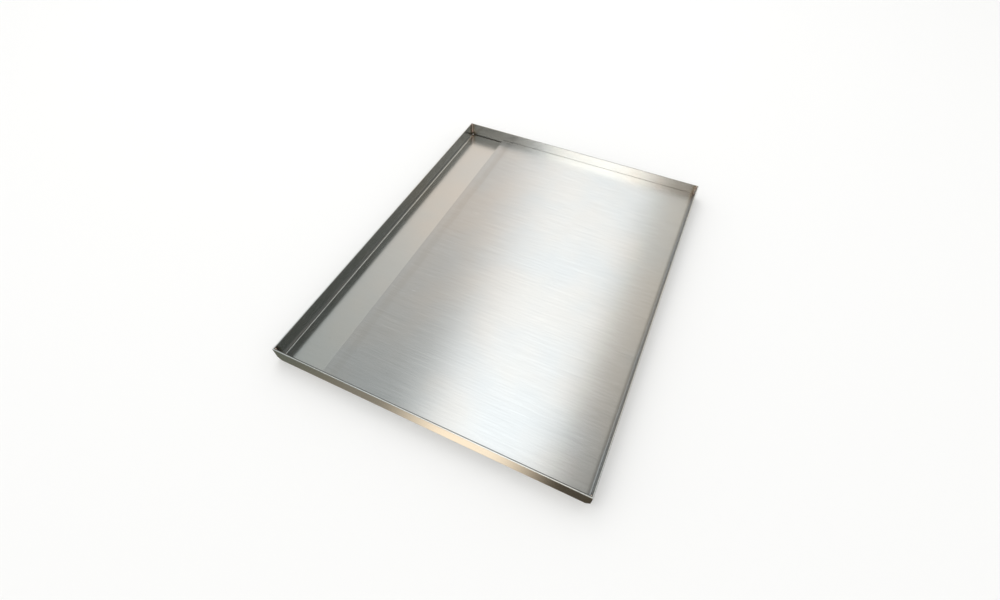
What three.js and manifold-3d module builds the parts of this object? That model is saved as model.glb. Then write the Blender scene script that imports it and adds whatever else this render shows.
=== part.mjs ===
// Stainless griddle tray: a folded sheet pan, two welded end walls, and a thick flat griddle plate
// that covers the floor except for a grease channel along the left side.
//
// Millimetres. +X points right, away from the channel. +Y points to the rear. +Z points up.
// The origin is at the centre of the underside, on the surface that the tray stands on.

import * as THREE from 'three';
import { mergeVertices } from 'three/addons/utils/BufferGeometryUtils.js';
import Module from 'manifold-3d';

// Overall size and stock.
const WIDTH = 362.5;
const LENGTH = 470;
const HEIGHT = 20.6;
const SHEET = 2;
const BEND_INSIDE = 3;
const BEND_SEGMENTS = 8;

// End walls.
const CORNER_CUT_WIDTH = 4.4;
const CORNER_CUT_HEIGHT = 4.8;

// Griddle plate.
const PLATE_THICKNESS = 4.76;
const PLATE_LEFT_SETBACK = 57.3;
const PLATE_LOWER_BEVEL = 2.4;
const PLATE_EDGE_BREAK = 0.4;
const PLATE_CORNER_CUT = 1.8;

// Clearances between the pieces.
const FIT_GAP = 0.3;
const REAR_SLIT = 0.9;
const SEAT_GAP = 0.1;
const WELD_GAP = 0.05;

// Weld beads.
const CORNER_WELD_LEG = 1.8;
const CORNER_WELD_TOP_SETBACK = 0.1;
const CORNER_WELD_ROOT_DEPTH = 0.2;
const FLOOR_WELD_LEG = 1.2;
const FLOOR_WELD_RECESS = 0.1;
const PLATE_WELD_LEG = 2.2;
const PLATE_WELD_LENGTH = 42;
const PLATE_WELD_COUNT = 5;
const WELD_CURVE_SEGMENTS = 5;
const WELD_HOLLOW = 0.42;

// How far a cutting solid reaches past what it cuts.
const OVERSHOOT = 1;

// Places worked out from the sizes above.
const LEFT = -WIDTH / 2;
const RIGHT = WIDTH / 2;
const FRONT = -LENGTH / 2;
const REAR = LENGTH / 2;
const INNER_LEFT = LEFT + SHEET;
const INNER_RIGHT = RIGHT - SHEET;
const INNER_FRONT = FRONT + SHEET;
const INNER_REAR = REAR - SHEET;
const FLOOR_FRONT = INNER_FRONT + FIT_GAP;
const FLOOR_REAR = INNER_REAR - REAR_SLIT;
const PLATE_LEFT = LEFT + PLATE_LEFT_SETBACK;
const PLATE_BOTTOM = SHEET + SEAT_GAP;
const PLATE_TOP = PLATE_BOTTOM + PLATE_THICKNESS;

// Finishes.
const SHEET_FINISH = { color: 0xb4b4af, roughness: 0.34, metalness: 1 };
const PLATE_FINISH = { color: 0xbdbcb8, roughness: 0.38, metalness: 1 };
const WELD_FINISH = { color: 0xa8927c, roughness: 0.45, metalness: 1 };

const wasm = await Module();
wasm.setup();

// A closed polygon from a list of [across, up] corners.
function polygon(points) {
  return new THREE.Shape(points.map(([across, up]) => new THREE.Vector2(across, up)));
}

// A section drawn in X and Z, swept along Y from one station to another.
function sweepAlongY(shape, fromY, toY, curveSegments = 1) {
  const geometry = new THREE.ExtrudeGeometry(shape, {
    depth: toY - fromY,
    bevelEnabled: false,
    curveSegments,
  });
  geometry.rotateX(Math.PI / 2);
  geometry.translate(0, toY, 0);
  return geometry;
}

// A section drawn in Y and Z, swept along X from one station to another.
function sweepAlongX(shape, fromX, toX) {
  const geometry = new THREE.ExtrudeGeometry(shape, {
    depth: toX - fromX,
    bevelEnabled: false,
    curveSegments: 1,
  });
  geometry.rotateX(Math.PI / 2);
  geometry.rotateZ(Math.PI / 2);
  geometry.translate(fromX, 0, 0);
  return geometry;
}

// A section drawn in X and Y, raised from one height to another.
function sweepAlongZ(shape, fromZ, toZ, curveSegments) {
  const geometry = new THREE.ExtrudeGeometry(shape, {
    depth: toZ - fromZ,
    bevelEnabled: false,
    curveSegments,
  });
  geometry.translate(0, 0, fromZ);
  return geometry;
}

// A closed geometry as a solid that can be joined and cut.
function solidFrom(geometry) {
  const bare = geometry.clone();
  bare.deleteAttribute('normal');
  bare.deleteAttribute('uv');
  const merged = mergeVertices(bare);
  return new wasm.Manifold(new wasm.Mesh({
    numProp: 3,
    vertProperties: Float32Array.from(merged.attributes.position.array),
    triVerts: Uint32Array.from(merged.index.array),
  }));
}

// A cut solid back as a geometry.
function geometryFrom(solid) {
  const mesh = solid.getMesh();
  const geometry = new THREE.BufferGeometry();
  geometry.setAttribute('position', new THREE.BufferAttribute(mesh.vertProperties, 3));
  geometry.setIndex(new THREE.BufferAttribute(mesh.triVerts, 1));
  geometry.computeVertexNormals();
  return geometry;
}

// A geometry flipped across X or Y, with its faces still pointing out.
function mirrored(geometry, signX, signY) {
  geometry.scale(signX, signY, 1);
  if (signX * signY < 0) {
    const order = geometry.index.array;
    for (let i = 0; i < order.length; i += 3) {
      [order[i + 1], order[i + 2]] = [order[i + 2], order[i + 1]];
    }
  }
  geometry.computeVertexNormals();
  return geometry;
}

// The folded sheet's U section: left wall, floor and right wall, with a round bend at each foot.
function panSection() {
  const outer = SHEET + BEND_INSIDE;
  const section = new THREE.Shape();
  section.moveTo(LEFT, HEIGHT);
  section.lineTo(LEFT, outer);
  section.absarc(LEFT + outer, outer, outer, Math.PI, 1.5 * Math.PI, false);
  section.lineTo(RIGHT - outer, 0);
  section.absarc(RIGHT - outer, outer, outer, 1.5 * Math.PI, 2 * Math.PI, false);
  section.lineTo(RIGHT, HEIGHT);
  section.lineTo(INNER_RIGHT, HEIGHT);
  section.lineTo(INNER_RIGHT, outer);
  section.absarc(RIGHT - outer, outer, BEND_INSIDE, 0, -0.5 * Math.PI, true);
  section.lineTo(LEFT + outer, SHEET);
  section.absarc(LEFT + outer, outer, BEND_INSIDE, 1.5 * Math.PI, Math.PI, true);
  section.lineTo(INNER_LEFT, HEIGHT);
  section.closePath();
  return section;
}

function panBody() {
  return sweepAlongY(panSection(), FLOOR_FRONT, FLOOR_REAR, BEND_SEGMENTS);
}

// An end wall's blank: a strip whose lower corners are clipped to follow the bends.
function endWallBlank(fromY, toY) {
  const outline = polygon([
    [LEFT, HEIGHT],
    [LEFT, CORNER_CUT_HEIGHT],
    [LEFT + CORNER_CUT_WIDTH, 0],
    [RIGHT - CORNER_CUT_WIDTH, 0],
    [RIGHT, CORNER_CUT_HEIGHT],
    [RIGHT, HEIGHT],
  ]);
  return sweepAlongY(outline, fromY, toY);
}

// The weld groove along an end wall's inner lower edge. inward is +1 at the front, -1 at the rear.
function weldGroove(innerFace, inward) {
  const leg = FLOOR_WELD_LEG;
  const section = polygon([
    [innerFace - inward * (leg + OVERSHOOT), -OVERSHOOT],
    [innerFace + inward * OVERSHOOT, -OVERSHOOT],
    [innerFace + inward * OVERSHOOT, leg + OVERSHOOT],
  ]);
  return sweepAlongX(section, LEFT - OVERSHOOT, RIGHT + OVERSHOOT);
}

function endWall(fromY, toY, innerFace, inward) {
  const wall = solidFrom(endWallBlank(fromY, toY));
  const groove = solidFrom(weldGroove(innerFace, inward));
  return geometryFrom(wall.subtract(groove));
}

// The bead that fills an end wall's groove up to the end of the floor, ground just below flush.
function floorWeld(innerFace, inward, gapToFloor) {
  const toe = innerFace - inward * (FLOOR_WELD_LEG - FLOOR_WELD_RECESS - 2 * WELD_GAP);
  const root = innerFace + inward * (gapToFloor - WELD_GAP);
  const rootHeight = FLOOR_WELD_LEG - 2 * WELD_GAP;
  const section = polygon([
    [toe, FLOOR_WELD_RECESS],
    [root, FLOOR_WELD_RECESS],
    [root, rootHeight],
    [innerFace, rootHeight],
  ]);
  const end = CORNER_CUT_WIDTH + FIT_GAP;
  return sweepAlongX(section, LEFT + end, RIGHT - end);
}

// The thick plate's section: a small break on its channel edge, and a bevel that clears the right bend.
function plateSection() {
  const right = INNER_RIGHT - FIT_GAP;
  return polygon([
    [PLATE_LEFT, PLATE_BOTTOM],
    [right - PLATE_LOWER_BEVEL, PLATE_BOTTOM],
    [right, PLATE_BOTTOM + PLATE_LOWER_BEVEL],
    [right, PLATE_TOP],
    [PLATE_LEFT + PLATE_EDGE_BREAK, PLATE_TOP],
    [PLATE_LEFT, PLATE_TOP - PLATE_EDGE_BREAK],
  ]);
}

// A wedge that takes a corner off the plate, so that it clears the weld in the pan's corner.
function cornerWedge(x, y, outX, outY) {
  const reach = PLATE_CORNER_CUT + OVERSHOOT;
  const corners = [
    [x + outX * OVERSHOOT, y + outY * OVERSHOOT],
    [x + outX * OVERSHOOT, y - outY * reach],
    [x - outX * reach, y + outY * OVERSHOOT],
  ];
  if (outX * outY > 0) {
    corners.reverse();
  }
  return solidFrom(sweepAlongZ(polygon(corners), 0, HEIGHT, 1));
}

function griddlePlate() {
  const front = INNER_FRONT + FIT_GAP;
  const rear = INNER_REAR - FIT_GAP;
  const right = INNER_RIGHT - FIT_GAP;
  const blank = solidFrom(sweepAlongY(plateSection(), front, rear));
  const clipped = blank.subtract(cornerWedge(right, front, 1, -1));
  return geometryFrom(clipped.subtract(cornerWedge(right, rear, 1, 1)));
}

// A hollow-faced fillet section in the corner of two faces, with one leg along each face.
function filletSection(leg) {
  const section = new THREE.Shape();
  section.moveTo(WELD_GAP, WELD_GAP);
  section.lineTo(leg, WELD_GAP);
  section.quadraticCurveTo(WELD_HOLLOW * leg, WELD_HOLLOW * leg, WELD_GAP, leg);
  section.closePath();
  return section;
}

// The weld of one vertical corner, drawn for an end wall inside the line Y = 0 and a side wall inside
// the line X = 0: a fillet in the inside corner, and a root that fills the seam out to the side.
function cornerWeld(seam) {
  const top = HEIGHT - CORNER_WELD_TOP_SETBACK;
  const bendTop = SHEET + BEND_INSIDE;
  const rootSection = polygon([
    [-SHEET, WELD_GAP],
    [CORNER_WELD_ROOT_DEPTH, WELD_GAP],
    [CORNER_WELD_ROOT_DEPTH, seam - WELD_GAP],
    [-SHEET, seam - WELD_GAP],
  ]);
  const root = sweepAlongZ(rootSection, CORNER_CUT_HEIGHT, top, 1);
  const fillet = sweepAlongZ(filletSection(CORNER_WELD_LEG), bendTop, top, WELD_CURVE_SEGMENTS);
  return geometryFrom(solidFrom(root).add(solidFrom(fillet)));
}

// A stitch in the corner between the plate's left edge and the channel's floor.
function plateWeld() {
  const geometry = sweepAlongZ(filletSection(PLATE_WELD_LEG), 0, PLATE_WELD_LENGTH, WELD_CURVE_SEGMENTS);
  geometry.rotateX(Math.PI / 2);
  geometry.rotateZ(Math.PI);
  geometry.translate(0, -PLATE_WELD_LENGTH / 2, 0);
  return geometry;
}

const tray = new THREE.Group();

function addPiece(name, geometry, finish) {
  const mesh = new THREE.Mesh(geometry, new THREE.MeshStandardMaterial(finish));
  mesh.name = name;
  tray.add(mesh);
  return mesh;
}

function addSheetwork() {
  addPiece('pan_body', panBody(), SHEET_FINISH);
  addPiece('front_wall', endWall(FRONT, INNER_FRONT, INNER_FRONT, 1), SHEET_FINISH);
  addPiece('rear_wall', endWall(INNER_REAR, REAR, INNER_REAR, -1), SHEET_FINISH);
  addPiece('griddle_plate', griddlePlate(), PLATE_FINISH);
}

// Each corner's weld is drawn for its own seam, then flipped to face into its corner.
function addCornerWelds() {
  const sides = [
    { side: 'left', x: INNER_LEFT, intoX: 1 },
    { side: 'right', x: INNER_RIGHT, intoX: -1 },
  ];
  const ends = [
    { end: 'front', y: INNER_FRONT, intoY: 1, seam: FIT_GAP },
    { end: 'rear', y: INNER_REAR, intoY: -1, seam: REAR_SLIT },
  ];
  for (const { side, x, intoX } of sides) {
    for (const { end, y, intoY, seam } of ends) {
      const geometry = mirrored(cornerWeld(seam), intoX, intoY);
      const weld = addPiece(`corner_weld_${end}_${side}`, geometry, WELD_FINISH);
      weld.position.set(x, y, 0);
    }
  }
}

function addFloorWelds() {
  addPiece('front_floor_weld', floorWeld(INNER_FRONT, 1, FIT_GAP), WELD_FINISH);
  addPiece('rear_floor_weld', floorWeld(INNER_REAR, -1, REAR_SLIT), WELD_FINISH);
}

function addPlateWelds() {
  const pitch = LENGTH / PLATE_WELD_COUNT;
  for (let i = 0; i < PLATE_WELD_COUNT; i += 1) {
    const stitch = addPiece(`plate_weld_${i + 1}`, plateWeld(), WELD_FINISH);
    stitch.position.set(PLATE_LEFT, FRONT + pitch * (i + 0.5), SHEET);
  }
}

addSheetwork();
addCornerWelds();
addFloorWelds();
addPlateWelds();

export default tray;
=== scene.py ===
import math

import bmesh
import bpy
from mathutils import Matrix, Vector, noise


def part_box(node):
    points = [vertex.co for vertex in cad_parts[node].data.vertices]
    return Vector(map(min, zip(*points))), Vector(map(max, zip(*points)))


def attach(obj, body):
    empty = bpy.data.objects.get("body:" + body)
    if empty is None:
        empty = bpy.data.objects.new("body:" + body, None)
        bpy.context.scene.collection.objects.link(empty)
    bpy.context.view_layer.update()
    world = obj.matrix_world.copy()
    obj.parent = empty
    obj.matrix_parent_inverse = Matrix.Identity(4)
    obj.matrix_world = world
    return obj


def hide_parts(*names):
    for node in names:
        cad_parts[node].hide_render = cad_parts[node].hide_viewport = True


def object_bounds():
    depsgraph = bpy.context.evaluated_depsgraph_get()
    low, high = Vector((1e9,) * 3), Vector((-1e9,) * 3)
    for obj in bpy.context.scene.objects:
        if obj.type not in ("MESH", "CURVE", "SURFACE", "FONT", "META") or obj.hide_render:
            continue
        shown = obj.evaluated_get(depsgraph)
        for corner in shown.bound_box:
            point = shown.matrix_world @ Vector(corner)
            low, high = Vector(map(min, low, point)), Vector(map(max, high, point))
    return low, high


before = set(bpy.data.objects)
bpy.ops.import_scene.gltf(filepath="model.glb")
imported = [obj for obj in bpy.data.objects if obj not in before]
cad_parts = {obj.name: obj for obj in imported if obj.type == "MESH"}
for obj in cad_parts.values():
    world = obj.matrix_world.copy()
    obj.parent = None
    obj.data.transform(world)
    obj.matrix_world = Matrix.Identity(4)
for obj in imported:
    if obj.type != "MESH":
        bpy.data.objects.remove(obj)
CAD_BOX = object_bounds()

MM = 0.001

# The tray's planes and edges, from the CAD frame.
TRAY_LOW, TRAY_HIGH = CAD_BOX
PAN_LOW, PAN_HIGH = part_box("pan_body")
PLATE_LOW, PLATE_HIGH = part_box("griddle_plate")
FRONT_LOW, FRONT_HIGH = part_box("front_wall")
REAR_LOW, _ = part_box("rear_wall")
RIM = TRAY_HIGH.z
SHEET = FRONT_HIGH.y - FRONT_LOW.y
INNER_LEFT = TRAY_LOW.x + SHEET
INNER_RIGHT = TRAY_HIGH.x - SHEET

# Shapes that the frame's boxes don't give.
BEND_INSIDE = 3 * MM
BEND_OUTER = BEND_INSIDE + SHEET
CORNER_CUT_WIDTH = 4.4 * MM
CORNER_CUT_HEIGHT = 4.8 * MM
FLOOR_WELD_LEG = 1.2 * MM
PLATE_LOWER_BEVEL = 2.4 * MM
PLATE_CORNER_CUT = 1.8 * MM

# Rounding of the edges.
SHEET_EDGE_RADIUS = 0.3 * MM
PLATE_EDGE_RADIUS = 0.45 * MM
EDGE_SEGMENTS = 3
EDGE_ANGLE = math.radians(40)

# The sheet: its mesh steps, its slow wave, the hairline gap between walls, and the rear slit.
BEND_STEPS = 14
SHEET_STEP = 12 * MM
SHEET_WAVE = 0.04 * MM
SHEET_WAVE_SIZE = 120 * MM
WAVE_MARGIN = 30 * MM
WALL_GAP = 0.05 * MM
REAR_CREVICE = 0.5 * MM

# The plate: its mesh steps, its slow wave, the step over its weld and its drooping right edge.
PLATE_STEP = 9 * MM
PLATE_FINE_STEP = 2 * MM
PLATE_FINE_LEFT = 24 * MM
PLATE_FINE_RIGHT = 12 * MM
PLATE_WAVE = 0.07 * MM
PLATE_WAVE_SIZE = 140 * MM
STEP_LINE = 14 * MM
STEP_DROP = 0.14 * MM
STEP_WIDTH = 1.5 * MM
EDGE_DROOP = 0.16 * MM
EDGE_DROOP_REACH = 3 * MM

# The layers of noise that the sheet's waves and the beads' unevenness are taken from.
SHEET_NOISE_LAYER = 0.37
BEAD_NOISE_LAYER = 0.5

# How squarely a face looks along an axis, for telling cut edges from rolled faces.
FACING = 0.9
SLOPING = 0.7
# How close to a height counts as at that height, and the tolerance of a planar cut.
LEVEL = 0.1 * MM
CUT_TOLERANCE = 1e-7


# ------------------------------------------------------------------ node helpers

def rgb(red, green, blue):
    return (red, green, blue, 1.0)


def add_node(tree, kind, **settings):
    node = tree.nodes.new(kind)
    for key, value in settings.items():
        setattr(node, key, value)
    return node


def feed(tree, socket, value):
    """Puts a number, a colour or another node's output into an input socket."""
    if isinstance(value, bpy.types.NodeSocket):
        tree.links.new(value, socket)
    else:
        socket.default_value = value


def maths(tree, operation, *values):
    node = add_node(tree, "ShaderNodeMath", operation=operation)
    for socket, value in zip(node.inputs, values):
        feed(tree, socket, value)
    return node.outputs[0]


def vector_maths(tree, operation, *values):
    node = add_node(tree, "ShaderNodeVectorMath", operation=operation)
    for socket, value in zip(node.inputs, values):
        feed(tree, socket, value)
    return node.outputs["Value" if operation == "LENGTH" else "Vector"]


def ramp(tree, value, low, high, to_low=0.0, to_high=1.0):
    """A smooth step from to_low to to_high as value goes from low to high."""
    node = add_node(tree, "ShaderNodeMapRange", interpolation_type="SMOOTHSTEP")
    for name, number in (
        ("Value", value),
        ("From Min", low),
        ("From Max", high),
        ("To Min", to_low),
        ("To Max", to_high),
    ):
        feed(tree, node.inputs[name], number)
    return node.outputs["Result"]


def blend(tree, share, first, second, mode="MIX"):
    """Mixes two colours."""
    node = add_node(tree, "ShaderNodeMix", data_type="RGBA", blend_type=mode)
    colours = [socket for socket in node.inputs if socket.type == "RGBA"]
    feed(tree, node.inputs[0], share)
    feed(tree, colours[0], first)
    feed(tree, colours[1], second)
    return [socket for socket in node.outputs if socket.type == "RGBA"][0]


def scaled(tree, colour, factor):
    """A colour times a number that varies over the surface."""
    grey = add_node(tree, "ShaderNodeCombineColor")
    for socket in grey.inputs:
        feed(tree, socket, factor)
    return tinted(tree, colour, grey.outputs[0])


def product(tree, *factors):
    """Several numbers multiplied together."""
    result = factors[0]
    for factor in factors[1:]:
        result = maths(tree, "MULTIPLY", result, factor)
    return result


def tinted(tree, colour, tint):
    return blend(tree, 1.0, colour, tint, "MULTIPLY")


def xyz(tree, vector):
    split = add_node(tree, "ShaderNodeSeparateXYZ")
    tree.links.new(vector, split.inputs[0])
    return split.outputs


# ------------------------------------------------------------------ camera, floor and light

# Where the camera stands, its three axes, and its lens.
CAMERA_PLACE = Vector((155.5, -378.3, 468.5)) * MM
CAMERA_RIGHT = Vector((0.90518, 0.42500, 0.00367))
CAMERA_UP = Vector((-0.34047, 0.71992, 0.60481))
CAMERA_BACK = Vector((0.25440, -0.54871, 0.79637))
LENS_MM = 17.41
SENSOR_MM = 36.0


def make_camera():
    data = bpy.data.cameras.new("camera")
    data.lens = LENS_MM
    data.sensor_width = SENSOR_MM
    data.clip_start = 10 * MM
    camera = bpy.data.objects.new("camera", data)
    bpy.context.scene.collection.objects.link(camera)
    for row in range(3):
        camera.matrix_world[row] = (
            CAMERA_RIGHT[row],
            CAMERA_UP[row],
            CAMERA_BACK[row],
            CAMERA_PLACE[row],
        )
    bpy.context.scene.camera = camera


# What the steel mirrors, by direction. x runs to the right, y to the far side and z up.
# Each side of the studio has the colours of its left wall, its light panel and its right wall. The
# panel fades in between the first two x values, and out between the last two.
OVERHEAD = (
    (rgb(0.375, 0.418, 0.425), rgb(1.52, 1.58, 1.62), rgb(0.27, 0.27, 0.26)),
    (-0.37, -0.25, -0.065, -0.012),
)
FAR = (
    (rgb(0.94, 0.83, 0.745), rgb(1.38, 1.38, 1.37), rgb(0.84, 0.78, 0.69)),
    (-0.33, -0.195, -0.07, -0.005),
)
NEAR = (
    (rgb(0.16, 0.16, 0.15), rgb(3.2, 3.06, 2.95), rgb(0.48, 0.40, 0.32)),
    (-0.275, -0.255, -0.062, -0.035),
)
TABLE_LEFT = rgb(0.13, 0.14, 0.11)
TABLE_RIGHT = rgb(0.31, 0.27, 0.21)
TABLE_LAMP = rgb(1.45, 1.22, 0.94)
TABLE_SHADOW = rgb(0.08, 0.065, 0.045)
TABLE_TURN = (-0.6, -0.38)
TABLE_EDGES = (-0.40, -0.24, -0.17, -0.01)
OVERHEAD_TO_FAR = (0.15, 0.85)
OVERHEAD_TO_NEAR = (0.0, -0.6)
DOWN_TO_TABLE = (0.05, -0.1)

# The dim right-hand side, with a paler wall low down, and a warm light in its near corner.
RIGHT_NEAR = rgb(0.055, 0.06, 0.055)
RIGHT_FAR = rgb(0.16, 0.15, 0.13)
RIGHT_TURN = (0.3, 0.7)
RIGHT_START = (0.08, 0.38)
PALE_WALL = rgb(0.36, 0.36, 0.35)
PALE_WALL_TOP = (0.62, 0.45)
PALE_WALL_FOOT = (0.08, 0.22)
CORNER_LIGHT = rgb(1.7, 1.45, 1.3)
CORNER_X = (0.2, 0.45)
CORNER_Y = (-0.1, -0.35)
CORNER_Z = (0.0, -0.2)

# The pale horizon all round, which gives way to the dim side at the far right.
HORIZON = rgb(0.85, 0.85, 0.84)
HORIZON_HEIGHT = (0.46, 0.28)
DIM_X = (0.38, 0.52)
DIM_Y = (0.0, 0.25)


def studio_side(tree, x, colours, edges):
    """One side of the studio, from left to right: its left wall, light panel and right wall."""
    left, panel, right = colours
    start, full, fade, end = edges
    colour = blend(tree, ramp(tree, x, start, full), left, panel)
    return blend(tree, ramp(tree, x, fade, end), colour, right)


def panel_and_table(tree, x, y, z):
    """The light panel, which runs overhead from the far side to the near, and the table below."""
    table = blend(tree, ramp(tree, x, *TABLE_TURN), TABLE_LEFT, TABLE_RIGHT)
    colour = blend(
        tree,
        ramp(tree, y, *OVERHEAD_TO_FAR),
        studio_side(tree, x, *OVERHEAD),
        studio_side(tree, x, *FAR),
    )
    colour = blend(tree, ramp(tree, y, *OVERHEAD_TO_NEAR), colour, studio_side(tree, x, *NEAR))
    below = studio_side(tree, x, (table, TABLE_LAMP, TABLE_SHADOW), TABLE_EDGES)
    return blend(tree, ramp(tree, z, *DOWN_TO_TABLE), colour, below)


def right_hand_side(tree, y, z):
    side = blend(tree, ramp(tree, y, *RIGHT_TURN), RIGHT_NEAR, RIGHT_FAR)
    pale = product(tree, ramp(tree, z, *PALE_WALL_TOP), ramp(tree, z, *PALE_WALL_FOOT))
    return blend(tree, pale, side, PALE_WALL)


def studio_reflection(tree):
    """The colour of the studio in every direction."""
    direction = add_node(tree, "ShaderNodeTexCoord").outputs["Generated"]
    x, y, z = xyz(tree, direction)
    side = right_hand_side(tree, y, z)
    colour = panel_and_table(tree, x, y, z)
    colour = blend(tree, ramp(tree, x, *RIGHT_START), colour, side)
    corner = product(tree, ramp(tree, x, *CORNER_X), ramp(tree, y, *CORNER_Y), ramp(tree, z, *CORNER_Z))
    colour = blend(tree, corner, colour, CORNER_LIGHT)
    dim = product(tree, ramp(tree, x, *DIM_X), ramp(tree, y, *DIM_Y))
    horizon = blend(tree, dim, HORIZON, side)
    return blend(tree, ramp(tree, maths(tree, "ABSOLUTE", z), *HORIZON_HEIGHT), colour, horizon)


WHITE_LIGHT = rgb(1.03, 1.03, 1.03)
FLOOR_COLOUR = rgb(0.88, 0.88, 0.87)
FLOOR_ROUGHNESS = 0.9
FLOOR_HALF_SIDE = 6.0
FLOOR_DROP = 0.2 * MM
KEY_SIDES = (1.2, 1.6)
KEY_WATTS = 6.0
KEY_PLACE = (-0.7, 0.9, 1.6)


def make_world():
    """Plain white for the camera and the floor, and the studio for what the steel reflects."""
    world = bpy.data.worlds.new("studio")
    world.use_nodes = True
    tree = world.node_tree
    glossy = add_node(tree, "ShaderNodeLightPath").outputs["Is Glossy Ray"]
    colour = blend(tree, glossy, WHITE_LIGHT, studio_reflection(tree))
    tree.links.new(colour, tree.nodes["Background"].inputs["Color"])
    bpy.context.scene.world = world
    bpy.context.scene.view_settings.view_transform = "Standard"


def make_floor():
    half = FLOOR_HALF_SIDE
    height = TRAY_LOW.z - FLOOR_DROP
    corners = [(-half, -half), (half, -half), (half, half), (-half, half)]
    mesh = bpy.data.meshes.new("floor")
    mesh.from_pydata([(x, y, height) for x, y in corners], [], [(0, 1, 2, 3)])
    floor = bpy.data.objects.new("floor", mesh)
    bpy.context.scene.collection.objects.link(floor)
    material = bpy.data.materials.new("floor")
    material.use_nodes = True
    shader = material.node_tree.nodes["Principled BSDF"]
    shader.inputs["Base Color"].default_value = FLOOR_COLOUR
    shader.inputs["Roughness"].default_value = FLOOR_ROUGHNESS
    mesh.materials.append(material)
    floor.visible_glossy = False


def make_key_light():
    data = bpy.data.lights.new("key", "AREA")
    data.shape = "RECTANGLE"
    data.size, data.size_y = KEY_SIDES
    data.energy = KEY_WATTS
    light = bpy.data.objects.new("key", data)
    light.location = KEY_PLACE
    light.rotation_euler = (-light.location).to_track_quat("-Z", "Y").to_euler()
    light.visible_glossy = False
    bpy.context.scene.collection.objects.link(light)


# ------------------------------------------------------------------ materials

# Weld heat colours by how near the bead is: bare steel, straw, bronze, rose, slate.
HEAT_COLOURS = (
    (0.00, rgb(1.00, 1.00, 1.00)),
    (0.30, rgb(1.00, 0.97, 0.90)),
    (0.55, rgb(0.99, 0.88, 0.74)),
    (0.75, rgb(0.92, 0.74, 0.62)),
    (1.00, rgb(0.70, 0.60, 0.60)),
)
# The folded sheet: faint heat colour, then a painted shade that darkens it close to the bead.
HEAT_TINT_AND_PAINTED_SHADE_COLOURS = (
    (0.00, rgb(1.00, 1.00, 1.00)),
    (0.25, rgb(0.97, 0.94, 0.88)),
    (0.45, rgb(0.60, 0.53, 0.47)),
    (0.60, rgb(0.30, 0.26, 0.24)),
    (1.00, rgb(0.20, 0.18, 0.17)),
)
HEAT_REACH = 5.5 * MM
HEAT_REACH_LEAST = 0.65 * HEAT_REACH
HEAT_REACH_SPREAD = 0.7 * HEAT_REACH
HEAT_CENTRE = Vector((INNER_RIGHT - 2 * MM, REAR_LOW.y - 2 * MM, 0))

# Brushed lines, in cycles per metre across and along the grain.
WIDE_LINES = (640, 18)
FINE_LINES = (1400, 34)
HAIR_LINES = (4200, 60)
SCRATCH_LINES = (650, 9)
SCRATCH_CUT = (0.76, 0.80)
RELIEF_DEPTH = 0.05 * MM
SMUDGE_SWING = 0.08

# Cloudy noise, in cycles per metre.
ROLLED_CLOUDS = 9
WANDER_CLOUDS = 22
SMUDGE_CLOUDS = 28
OXIDE_CLOUDS = 180
HEAT_CLOUDS = 240
TORN_CLOUDS = 900
PIT_CLOUDS = 1900
SPECKLE_CLOUDS = 2600

# Rolled patches: how red, green and blue change in the coolest and the warmest, in shares of a tint.
COOLEST = (-1.0, -0.3, -0.3)
WARMEST = (0.3, 0.0, -0.9)
ROLLED_BLEND = (0.35, 0.65)

# A bead's oxide: its tones over the bead's own colour, and where in the noise each comes in.
ROSE_TONE = (1.06, 0.86, 0.80)
ROSE_BLEND = (0.42, 0.58)
GREY_TONE = (0.74, 0.80, 0.90)
GREY_BLEND = (0.62, 0.70)
OXIDE_SHINE_SWING = 0.3
SPECKLE_SWING = 0.3
PITTING = 0.15

# Small dark specks: cells per metre, a speck's radius, the share of cells with one, and how dark.
FLECK_CYCLES = 16
FLECK_SIZE = 0.6 * MM
FLECK_SHARE = 0.3
FLECK_DARKENING = 0.35

# The sheared rim: the darker, torn part along its inside, and how ragged that part's border is.
TORN_FROM = 0.7 * MM
TORN_TO = 1.1 * MM
TORN_SHADE = 0.14
TORN_RAGGED = 0.3 * MM

# Painted shade inside the pan's bends, by height above the floor.
FOLD_SHADE_FOOT = (0.5 * MM, 1.1 * MM)
FOLD_SHADE_HEAD = (3.8 * MM, 2.4 * MM)
FOLD_PAINTED_SHADE = 0.55

# The plate's painted shade: a faint darker line over the weld under it, and a darker band along its
# right edge.
STEP_SHADE_COLOUR = rgb(0.972, 0.965, 0.955)
STEP_SHADE_CENTRE = PLATE_LOW.x + STEP_LINE - 2 * MM
STEP_SHADE_WANDER = 5 * MM
STEP_SHADE_HALF = (7 * MM, 2 * MM)
PLATE_EDGE_SHADE_BAND = 5.5 * MM
PLATE_EDGE_PAINTED_SHADE = 0.45


def colour_ramp(tree, value, stops):
    node = add_node(tree, "ShaderNodeValToRGB")
    tree.links.new(value, node.inputs[0])
    elements = node.color_ramp.elements
    while len(elements) < len(stops):
        elements.new(0.5)
    for element, (position, colour) in zip(elements, stops):
        element.position = position
        element.color = colour
    return node.outputs[0]


def cloud(tree, place, cycles, detail=2.0):
    texture = add_node(tree, "ShaderNodeTexNoise")
    tree.links.new(place, texture.inputs["Vector"])
    texture.inputs["Scale"].default_value = cycles
    texture.inputs["Detail"].default_value = detail
    return texture.outputs["Fac"]


def swing(tree, value, width, middle):
    """A value from 0 to 1, turned into one that swings by width about the middle."""
    return maths(tree, "MULTIPLY_ADD", value, width, middle - width / 2)


def streaks(tree, grain, cycles, detail=2.0):
    """Long thin noise that runs along the grain."""
    stretch = add_node(tree, "ShaderNodeMapping")
    tree.links.new(grain, stretch.inputs["Vector"])
    stretch.inputs["Scale"].default_value = (*cycles, 1.0)
    texture = add_node(tree, "ShaderNodeTexNoise", noise_dimensions="2D")
    tree.links.new(stretch.outputs[0], texture.inputs["Vector"])
    texture.inputs["Scale"].default_value = 1.0
    texture.inputs["Detail"].default_value = detail
    return texture.outputs["Fac"]


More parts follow.
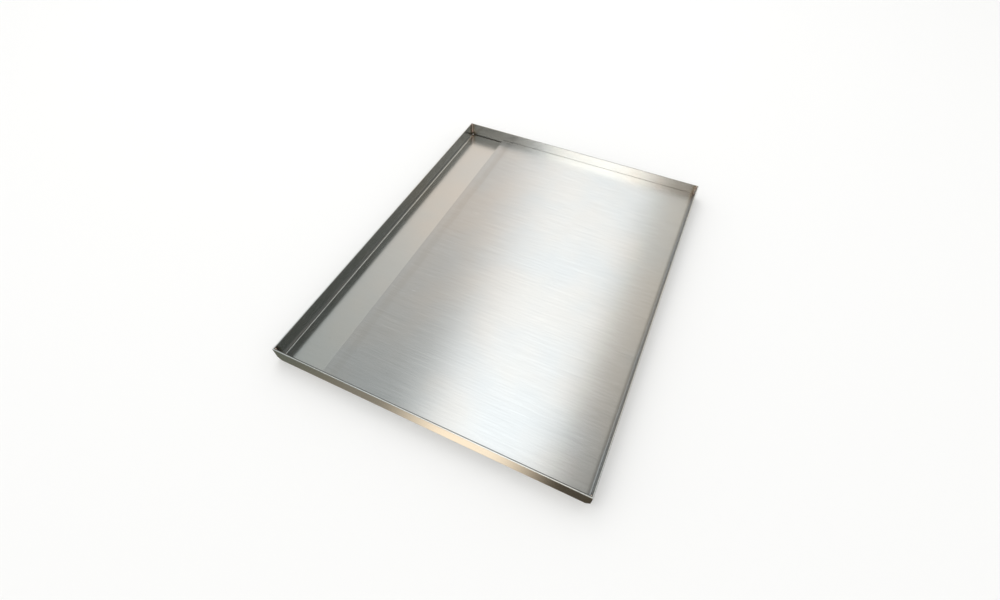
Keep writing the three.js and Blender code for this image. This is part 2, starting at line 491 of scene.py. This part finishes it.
def relief(tree, height, strength):
    """A normal that gives the surface a fine relief."""
    node = add_node(tree, "ShaderNodeBump")
    node.inputs["Strength"].default_value = strength
    node.inputs["Distance"].default_value = RELIEF_DEPTH
    tree.links.new(height, node.inputs["Height"])
    return node.outputs[0]


def heat_tint_and_shade(tree, place, colours):
    """The colour that welding leaves round the tray's four inside corners, and, with the pan's colours,
    a painted shade close to the bead.
    """
    folded = vector_maths(tree, "ABSOLUTE", place)
    offset = vector_maths(tree, "SUBTRACT", folded, HEAT_CENTRE)
    flat = vector_maths(tree, "MULTIPLY", offset, (1, 1, 0))
    distance = vector_maths(tree, "LENGTH", flat)
    clouds = cloud(tree, place, HEAT_CLOUDS)
    reach = maths(tree, "MULTIPLY_ADD", clouds, HEAT_REACH_SPREAD, HEAT_REACH_LEAST)
    heat = maths(tree, "SUBTRACT", 1.0, maths(tree, "DIVIDE", distance, reach))
    return colour_ramp(tree, heat, colours)


def edge_shade(tree, place):
    """A sheared edge: burnished along the outside of the rim, torn and dark along the inside."""
    x, y, _ = xyz(tree, vector_maths(tree, "ABSOLUTE", place))
    from_side = maths(tree, "SUBTRACT", x, INNER_RIGHT)
    from_end = maths(tree, "SUBTRACT", y, REAR_LOW.y)
    depth = maths(tree, "MAXIMUM", from_side, from_end)
    ragged = swing(tree, cloud(tree, place, TORN_CLOUDS), TORN_RAGGED, 0.0)
    return ramp(tree, maths(tree, "ADD", depth, ragged), TORN_FROM, TORN_TO, TORN_SHADE, 1.0)


def painted_step_shade(tree, place):
    """Painted shade on the plate: a faint darker line over the weld under it, and a darker band along
    its right edge.
    """
    x, _, _ = xyz(tree, place)
    wander = swing(tree, cloud(tree, place, WANDER_CLOUDS), STEP_SHADE_WANDER, 0.0)
    offset = maths(tree, "SUBTRACT", maths(tree, "ADD", x, wander), STEP_SHADE_CENTRE)
    share = ramp(tree, maths(tree, "ABSOLUTE", offset), *STEP_SHADE_HALF)
    tint = blend(tree, share, rgb(1, 1, 1), STEP_SHADE_COLOUR)
    # A darker band towards the right edge, painted shade.
    edge = PLATE_HIGH.x
    return scaled(tree, tint, ramp(tree, x, edge - PLATE_EDGE_SHADE_BAND, edge, 1.0, PLATE_EDGE_PAINTED_SHADE))


def painted_fold_shade(tree, place):
    """Painted shade inside the pan's two bends, above the bright line at their foot."""
    x, _, z = xyz(tree, place)
    inside = maths(tree, "LESS_THAN", maths(tree, "ABSOLUTE", x), INNER_RIGHT + WALL_GAP)
    foot = ramp(tree, z, *(SHEET + height for height in FOLD_SHADE_FOOT))
    head = ramp(tree, z, *(SHEET + height for height in FOLD_SHADE_HEAD))
    return maths(tree, "MULTIPLY_ADD", product(tree, inside, foot, head), -FOLD_PAINTED_SHADE, 1.0)


def fleck_shade(tree, grain):
    """A few small dark marks, spread at random."""
    texture = add_node(tree, "ShaderNodeTexVoronoi", voronoi_dimensions="2D")
    tree.links.new(grain, texture.inputs["Vector"])
    texture.inputs["Scale"].default_value = FLECK_CYCLES
    radius = FLECK_SIZE * FLECK_CYCLES
    near = ramp(tree, texture.outputs["Distance"], radius, radius / 2)
    red, _, _ = xyz(tree, texture.outputs["Color"])
    chosen = maths(tree, "GREATER_THAN", red, 1 - FLECK_SHARE)
    return maths(tree, "MULTIPLY_ADD", product(tree, near, chosen), -FLECK_DARKENING, 1.0)


def toned(colour, tone):
    """A plain colour with each of its channels multiplied by its own number."""
    return rgb(*(channel * factor for channel, factor in zip(colour, tone)))


def rolled_colour(tree, place, colour, tint):
    """Large patches, slightly cooler and slightly warmer than the steel's own colour."""
    cool = toned(colour, [1 + change * tint for change in COOLEST])
    warm = toned(colour, [1 + change * tint for change in WARMEST])
    patches = cloud(tree, place, ROLLED_CLOUDS, 3.0)
    return blend(tree, ramp(tree, patches, *ROLLED_BLEND), cool, warm)


def new_metal(name):
    """A metal's material, with its nodes, its shader and the place on the tray."""
    material = bpy.data.materials.new(name)
    material.use_nodes = True
    tree = material.node_tree
    shader = tree.nodes["Principled BSDF"]
    shader.inputs["Metallic"].default_value = 1.0
    place = add_node(tree, "ShaderNodeTexCoord").outputs["Object"]
    return material, tree, shader, place


def steel(
    name, colour, roughness, anisotropy, streak=0.06, tint=0.04, bump=0.004, shine_swing=0.06,
    scratched=0.03, heat_tint_and_shade_colours=None, folded=False, plate_shaded=False, edge=False,
):
    """Brushed stainless steel. The mesh's UVs run across and along its grain, in metres.

    streak, tint and scratched are how far the brushed lines, the rolled patches and the scratches
    change its colour. bump is the strength of its hairlines, and shine_swing is how far the brushed
    lines change its roughness.
    """
    material, tree, shader, place = new_metal(name)
    grain = add_node(tree, "ShaderNodeUVMap", uv_map="grain").outputs[0]

    fine = product(tree, streaks(tree, grain, FINE_LINES), 0.5)
    brush = maths(tree, "MULTIPLY_ADD", streaks(tree, grain, WIDE_LINES), 0.5, fine)
    scratches = ramp(tree, streaks(tree, grain, SCRATCH_LINES, 0.0), *SCRATCH_CUT)

    base = rolled_colour(tree, place, colour, tint)
    base = scaled(tree, base, swing(tree, brush, 2 * streak, 1.0))
    base = scaled(tree, base, maths(tree, "MULTIPLY_ADD", scratches, scratched, 1.0))
    base = scaled(tree, base, fleck_shade(tree, grain))
    # Weld heat colour, and on the pan also a painted shade next to the corner beads.
    if heat_tint_and_shade_colours:
        base = tinted(tree, base, heat_tint_and_shade(tree, place, heat_tint_and_shade_colours))
    # Painted shade inside the pan's bends.
    if folded:
        base = scaled(tree, base, painted_fold_shade(tree, place))
    # Painted shade on the plate, over its weld and along its right edge.
    if plate_shaded:
        base = tinted(tree, base, painted_step_shade(tree, place))
    if edge:
        base = scaled(tree, base, edge_shade(tree, place))
    tree.links.new(base, shader.inputs["Base Color"])

    smudge = swing(tree, cloud(tree, place, SMUDGE_CLOUDS, 4.0), SMUDGE_SWING, roughness)
    smudge = maths(tree, "SUBTRACT", smudge, shine_swing / 2)
    rough = maths(tree, "MULTIPLY_ADD", brush, shine_swing, smudge)
    tree.links.new(rough, shader.inputs["Roughness"])
    hair = streaks(tree, grain, HAIR_LINES, 1.0)
    tree.links.new(relief(tree, hair, bump), shader.inputs["Normal"])

    shader.inputs["Anisotropic"].default_value = anisotropy
    tangent = add_node(tree, "ShaderNodeTangent", direction_type="UV_MAP", uv_map="grain")
    tree.links.new(tangent.outputs[0], shader.inputs["Tangent"])
    return material


def weld_metal(name, colour, roughness):
    """A bead's metal: patches of rose and grey oxide over its own colour."""
    material, tree, shader, place = new_metal(name)
    patches = cloud(tree, place, OXIDE_CLOUDS, 3.0)
    base = blend(tree, ramp(tree, patches, *ROSE_BLEND), rgb(*colour), toned(colour, ROSE_TONE))
    base = blend(tree, ramp(tree, patches, *GREY_BLEND), base, toned(colour, GREY_TONE))
    base = scaled(tree, base, swing(tree, cloud(tree, place, SPECKLE_CLOUDS), SPECKLE_SWING, 1.0))
    tree.links.new(base, shader.inputs["Base Color"])
    tree.links.new(swing(tree, patches, OXIDE_SHINE_SWING, roughness), shader.inputs["Roughness"])
    pitted = relief(tree, cloud(tree, place, PIT_CLOUDS), PITTING)
    tree.links.new(pitted, shader.inputs["Normal"])
    return material


# ------------------------------------------------------------------ mesh helpers

def spaced(low, high, step):
    """Evenly spaced stations from low to high, no further apart than step."""
    count = max(1, math.ceil((high - low) / step))
    return [low + (high - low) * i / count for i in range(count + 1)]


def arc(centre, radius, start, end, steps):
    """Points on an arc from one angle to another, in degrees."""
    points = []
    for i in range(steps + 1):
        angle = math.radians(start + (end - start) * i / steps)
        points.append((centre[0] + radius * math.cos(angle), centre[1] + radius * math.sin(angle)))
    return points


def sweep(section, stations, place, along_section):
    """A closed solid: a closed section carried through stations, with its grain in the UVs."""
    mesh = bmesh.new()
    grain = mesh.loops.layers.uv.new("grain")
    rings = [[mesh.verts.new(place(u, v, s)) for u, v in section] for s in stations]
    walked = [0.0]
    for first, second in zip(section, section[1:] + section[:1]):
        walked.append(walked[-1] + math.dist(first, second))
    count = len(section)
    for row in range(len(stations) - 1):
        for i in range(count):
            j = (i + 1) % count
            corners = ((row, i, i), (row, j, i + 1), (row + 1, j, i + 1), (row + 1, i, i))
            face = mesh.faces.new([rings[r][c] for r, c, _ in corners])
            for loop, (r, _, w) in zip(face.loops, corners):
                pair = (stations[r], walked[w])
                loop[grain].uv = pair if along_section else pair[::-1]
    for ring in (rings[0], rings[-1]):
        face = mesh.faces.new(ring)
        for loop, point in zip(face.loops, section):
            loop[grain].uv = point
    bmesh.ops.recalc_face_normals(mesh, faces=mesh.faces)
    return mesh


def clip(mesh, point, normal):
    """Cuts away what lies beyond a plane, and closes the cut."""
    everything = mesh.verts[:] + mesh.edges[:] + mesh.faces[:]
    cut = bmesh.ops.bisect_plane(
        mesh, geom=everything, dist=CUT_TOLERANCE, plane_co=point, plane_no=normal, clear_outer=True
    )
    edges = [item for item in cut["geom_cut"] if isinstance(item, bmesh.types.BMEdge)]
    bmesh.ops.holes_fill(mesh, edges=edges, sides=0)
    bmesh.ops.recalc_face_normals(mesh, faces=mesh.faces)


def finish_piece(name, mesh, nodes, materials, is_edge=None, edge_radius=0.0):
    """Turns a built mesh into a piece of the tray that stands for its CAD nodes."""
    data = bpy.data.meshes.new(name)
    mesh.to_mesh(data)
    mesh.free()
    for material in materials:
        data.materials.append(material)
    for polygon in data.polygons:
        polygon.use_smooth = True
        if is_edge and is_edge(polygon.center, polygon.normal):
            polygon.material_index = 1
    piece = bpy.data.objects.new(name, data)
    bpy.context.scene.collection.objects.link(piece)
    if edge_radius:
        rounding = piece.modifiers.new("rounding", "BEVEL")
        rounding.width = edge_radius
        rounding.segments = EDGE_SEGMENTS
        rounding.limit_method = "ANGLE"
        rounding.angle_limit = EDGE_ANGLE
        rounding.harden_normals = True
    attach(piece, "root")
    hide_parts(*nodes)


def wave(x, y, depth, size):
    """A gentle unevenness of rolled metal, in metres."""
    return depth * noise.noise(Vector((x / size, y / size, SHEET_NOISE_LAYER)))


# ------------------------------------------------------------------ sheetwork and plate

def pan_section():
    """The folded sheet's U section in X and Z, with the floor in short steps."""
    left = (TRAY_LOW.x + BEND_OUTER, BEND_OUTER)
    right = (TRAY_HIGH.x - BEND_OUTER, BEND_OUTER)
    floor_steps = spaced(left[0], right[0], SHEET_STEP)[1:-1]
    section = [(TRAY_LOW.x, RIM)]
    section += arc(left, BEND_OUTER, 180, 270, BEND_STEPS)
    section += [(x, 0.0) for x in floor_steps]
    section += arc(right, BEND_OUTER, 270, 360, BEND_STEPS)
    section += [(TRAY_HIGH.x, RIM), (INNER_RIGHT, RIM)]
    section += arc(right, BEND_INSIDE, 0, -90, BEND_STEPS)
    section += [(x, SHEET) for x in reversed(floor_steps)]
    section += arc(left, BEND_INSIDE, 270, 180, BEND_STEPS)
    section += [(INNER_LEFT, RIM)]
    return section


def make_pan(materials):
    def end_of(z, y):
        """Where the sheet ends. The floor stops by its welds, and leaves a slit at the rear. The
        side walls run on, to a hairline gap from the end walls."""
        up_wall = min(1.0, max(0.0, (z - SHEET) / BEND_INSIDE))
        if y == PAN_LOW.y:
            return y + up_wall * (FRONT_HIGH.y + WALL_GAP - y)
        if y == PAN_HIGH.y:
            return y - REAR_CREVICE + up_wall * (REAR_LOW.y - WALL_GAP - y + REAR_CREVICE)
        return y

    def place(x, z, y):
        inside = min(x - PAN_LOW.x, PAN_HIGH.x - x) / WAVE_MARGIN
        lift = max(0.0, wave(x, y, SHEET_WAVE, SHEET_WAVE_SIZE) + SHEET_WAVE / 2)
        return (x, end_of(z, y), z + lift * min(1.0, inside))

    def is_edge(centre, normal):
        on_rim = normal.z > FACING and centre.z > RIM - LEVEL
        return on_rim or abs(normal.y) > FACING

    mesh = sweep(pan_section(), spaced(PAN_LOW.y, PAN_HIGH.y, SHEET_STEP), place, True)
    finish_piece("pan_sheet", mesh, ["pan_body"], materials, is_edge, SHEET_EDGE_RADIUS)


def make_end_wall(name, node, inner_y, inward, materials):
    outer_y = inner_y - inward * SHEET
    section = [
        (outer_y, 0.0),
        (inner_y - inward * FLOOR_WELD_LEG, 0.0),
        (inner_y, FLOOR_WELD_LEG),
        (inner_y, RIM),
        (outer_y, RIM),
    ]
    stations = spaced(TRAY_LOW.x, TRAY_HIGH.x, SHEET_STEP)
    mesh = sweep(section, stations, lambda y, z, x: (x, y, z), False)
    for side, edge in ((-1, TRAY_LOW.x), (1, TRAY_HIGH.x)):
        across_cut = Vector((side * CORNER_CUT_HEIGHT, 0, -CORNER_CUT_WIDTH)).normalized()
        clip(mesh, Vector((edge, 0, CORNER_CUT_HEIGHT)), across_cut)

    def is_edge(centre, normal):
        return abs(normal.y) < FACING

    finish_piece(name, mesh, [node], materials, is_edge, SHEET_EDGE_RADIUS)


def plate_section():
    """The plate's section in X and Z, with close steps along its channel side and its right edge."""
    left, right = PLATE_LOW.x, PLATE_HIGH.x
    bottom, top = PLATE_LOW.z, PLATE_HIGH.z
    left_band = left + PLATE_FINE_LEFT
    right_band = right - PLATE_FINE_RIGHT
    steps = spaced(left, left_band, PLATE_FINE_STEP)
    steps += spaced(left_band, right_band, PLATE_STEP)[1:]
    steps += spaced(right_band, right, PLATE_FINE_STEP)[1:]
    section = [(left, bottom), (right - PLATE_LOWER_BEVEL, bottom), (right, bottom + PLATE_LOWER_BEVEL)]
    section += [(x, top) for x in reversed(steps)]
    return section


def plate_drop(x, y):
    """How far the plate's top lies below true: a step, a drooping right edge and a slow wave."""
    step = STEP_DROP / (1 + math.exp((x - PLATE_LOW.x - STEP_LINE) / STEP_WIDTH))
    droop = EDGE_DROOP * math.exp((x - PLATE_HIGH.x) / EDGE_DROOP_REACH)
    return step + droop + wave(x, y, PLATE_WAVE, PLATE_WAVE_SIZE)


def make_plate(materials):
    def place(x, z, y):
        if z < PLATE_HIGH.z - LEVEL:
            return (x, y, z)
        return (x, y, z - plate_drop(x, y))

    mesh = sweep(plate_section(), spaced(PLATE_LOW.y, PLATE_HIGH.y, PLATE_STEP), place, True)
    for y, out in ((PLATE_LOW.y, -1), (PLATE_HIGH.y, 1)):
        clip(mesh, Vector((PLATE_HIGH.x - PLATE_CORNER_CUT, y, 0)), Vector((1, out, 0)).normalized())

    def is_edge(centre, normal):
        return abs(normal.z) < SLOPING

    finish_piece("plate", mesh, ["griddle_plate"], materials, is_edge, PLATE_EDGE_RADIUS)


# ------------------------------------------------------------------ welds

FILLET_STEPS = 8
FILLET_HOLLOW = 0.44
CORNER_WELD_LEG = 1.7 * MM
CORNER_RIPPLE = 1.3 * MM
PLATE_WELD_LEG = 2.2 * MM
PLATE_RIPPLE = 1.7 * MM
BEAD_SINK = 0.12 * MM
RIDGE_DEPTH = 0.16
RIDGE_LAG = 0.25
STEPS_IN_RIPPLE = 6
BLUNT_END = 0.04
BEAD_UNEVENNESS = 0.05
UNEVENNESS_RIPPLES = 3
FLOOR_WELD_STEP = 2 * MM
FLOOR_WELD_DIP = 0.08 * MM
FLOOR_WELD_DIP_SIZE = 4 * MM


def fillet(leg, sink):
    """A fillet bead's section in the corner of two faces, a little sunk into both."""
    section = [(-sink, -sink), (leg, -sink)]
    for i in range(1, FILLET_STEPS):
        t = i / FILLET_STEPS
        hollow = 2 * t * (1 - t) * FILLET_HOLLOW * leg
        section.append(((1 - t) ** 2 * leg + hollow, t ** 2 * leg + hollow))
    section.append((-sink, leg))
    return section


def rippled(distance, length, pitch, leg):
    """How full a bead is at a distance along it: ripples, with a taper at each end."""
    phase = (distance / pitch) % 1.0
    ridge = 1 - RIDGE_DEPTH * phase ** 2
    end = min(distance, length - distance)
    taper = math.sqrt(min(1.0, max(0.0, end / leg) + BLUNT_END))
    spot = Vector((distance / (UNEVENNESS_RIPPLES * pitch), length, BEAD_NOISE_LAYER))
    unevenness = 1 + BEAD_UNEVENNESS * noise.noise(spot)
    return ridge * taper * unevenness


def make_fillet_bead(node, length, leg, pitch, place, material):
    """A rippled bead. place puts (across, up, along) where the bead lies on the tray."""
    def put(across, up, along):
        size = rippled(along, length, pitch, leg)
        lag = RIDGE_LAG * pitch * (across + up) / leg
        along = min(length, max(0.0, along + lag))
        return place(max(-BEAD_SINK, across * size), max(-BEAD_SINK, up * size), along)

    mesh = sweep(fillet(leg, BEAD_SINK), spaced(0.0, length, pitch / STEPS_IN_RIPPLE), put, False)
    finish_piece(f"{node}_bead", mesh, [node], [material])


def make_corner_weld(end, side, material):
    node = f"corner_weld_{end}_{side}"
    low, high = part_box(node)
    corner_x, into_x = (INNER_LEFT, 1) if side == "left" else (INNER_RIGHT, -1)
    corner_y, into_y = (FRONT_HIGH.y, 1) if end == "front" else (REAR_LOW.y, -1)

    def place(across, up, along):
        return (corner_x + into_x * across, corner_y + into_y * up, low.z + along)

    make_fillet_bead(node, high.z - low.z, CORNER_WELD_LEG, CORNER_RIPPLE, place, material)


def make_plate_weld(node, material):
    low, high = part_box(node)

    def place(across, up, along):
        return (PLATE_LOW.x - across, low.y + along, SHEET + up)

    make_fillet_bead(node, high.y - low.y, PLATE_WELD_LEG, PLATE_RIPPLE, place, material)


def make_floor_weld(node, inner_y, inward, floor_end, material):
    """The seam under an end wall, ground almost flush, with a faintly uneven face."""
    low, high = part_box(node)
    section = [
        (inner_y - inward * FLOOR_WELD_LEG, low.z),
        (floor_end, low.z),
        (floor_end, high.z),
        (inner_y, FLOOR_WELD_LEG),
    ]

    def place(y, z, x):
        dip = abs(wave(x, y, FLOOR_WELD_DIP, FLOOR_WELD_DIP_SIZE)) if z <= low.z else 0.0
        return (x, y, z + dip)

    mesh = sweep(section, spaced(low.x, high.x, FLOOR_WELD_STEP), place, False)
    finish_piece(f"{node}_bead", mesh, [node], [material])


def make_welds(bead, burnt):
    for end in ("front", "rear"):
        for side in ("left", "right"):
            make_corner_weld(end, side, bead)
    for node in sorted(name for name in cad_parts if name.startswith("plate_weld")):
        make_plate_weld(node, bead)
    make_floor_weld("front_floor_weld", FRONT_HIGH.y, 1, PAN_LOW.y, burnt)
    make_floor_weld("rear_floor_weld", REAR_LOW.y, -1, PAN_HIGH.y, burnt)


# ------------------------------------------------------------------ the tray

def make_tray():
    # The pan's sheet carries painted shade in its bends and next to its corner beads.
    sheet = steel(
        "pan_steel", (0.75, 0.75, 0.74), roughness=0.21, anisotropy=0.7, streak=0.03, scratched=0.02,
        heat_tint_and_shade_colours=HEAT_TINT_AND_PAINTED_SHADE_COLOURS, folded=True,
    )
    wall = steel(
        "wall_steel", (0.69, 0.685, 0.67), roughness=0.20, anisotropy=0.85, streak=0.05,
        heat_tint_and_shade_colours=HEAT_COLOURS,
    )
    # The plate carries painted shade over its weld and along its right edge.
    plate = steel(
        "plate_steel", (0.65, 0.65, 0.65), roughness=0.25, anisotropy=0.9, streak=0.12, bump=0.008,
        shine_swing=0.05, plate_shaded=True,
    )
    cut_edge = steel(
        "cut_edge", (0.80, 0.80, 0.78), roughness=0.36, anisotropy=0.3, streak=0.12, bump=0.02,
        edge=True,
    )
    # The plate's cut sides are darker than its top: painted shade along the plate's edges.
    plate_edge_painted_shade = steel(
        "plate_edge_painted_shade", (0.42, 0.41, 0.40), roughness=0.38, anisotropy=0.3, streak=0.12, bump=0.02
    )
    bead = weld_metal("weld_bead", (0.80, 0.69, 0.60), roughness=0.32)
    burnt = weld_metal("weld_root", (0.10, 0.085, 0.07), roughness=0.5)

    make_pan([sheet, cut_edge])
    make_end_wall("front_wall_sheet", "front_wall", FRONT_HIGH.y, 1, [wall, cut_edge])
    make_end_wall("rear_wall_sheet", "rear_wall", REAR_LOW.y, -1, [wall, cut_edge])
    make_plate([plate, plate_edge_painted_shade])
    make_welds(bead, burnt)


make_camera()
make_world()
make_floor()
make_key_light()
make_tray()
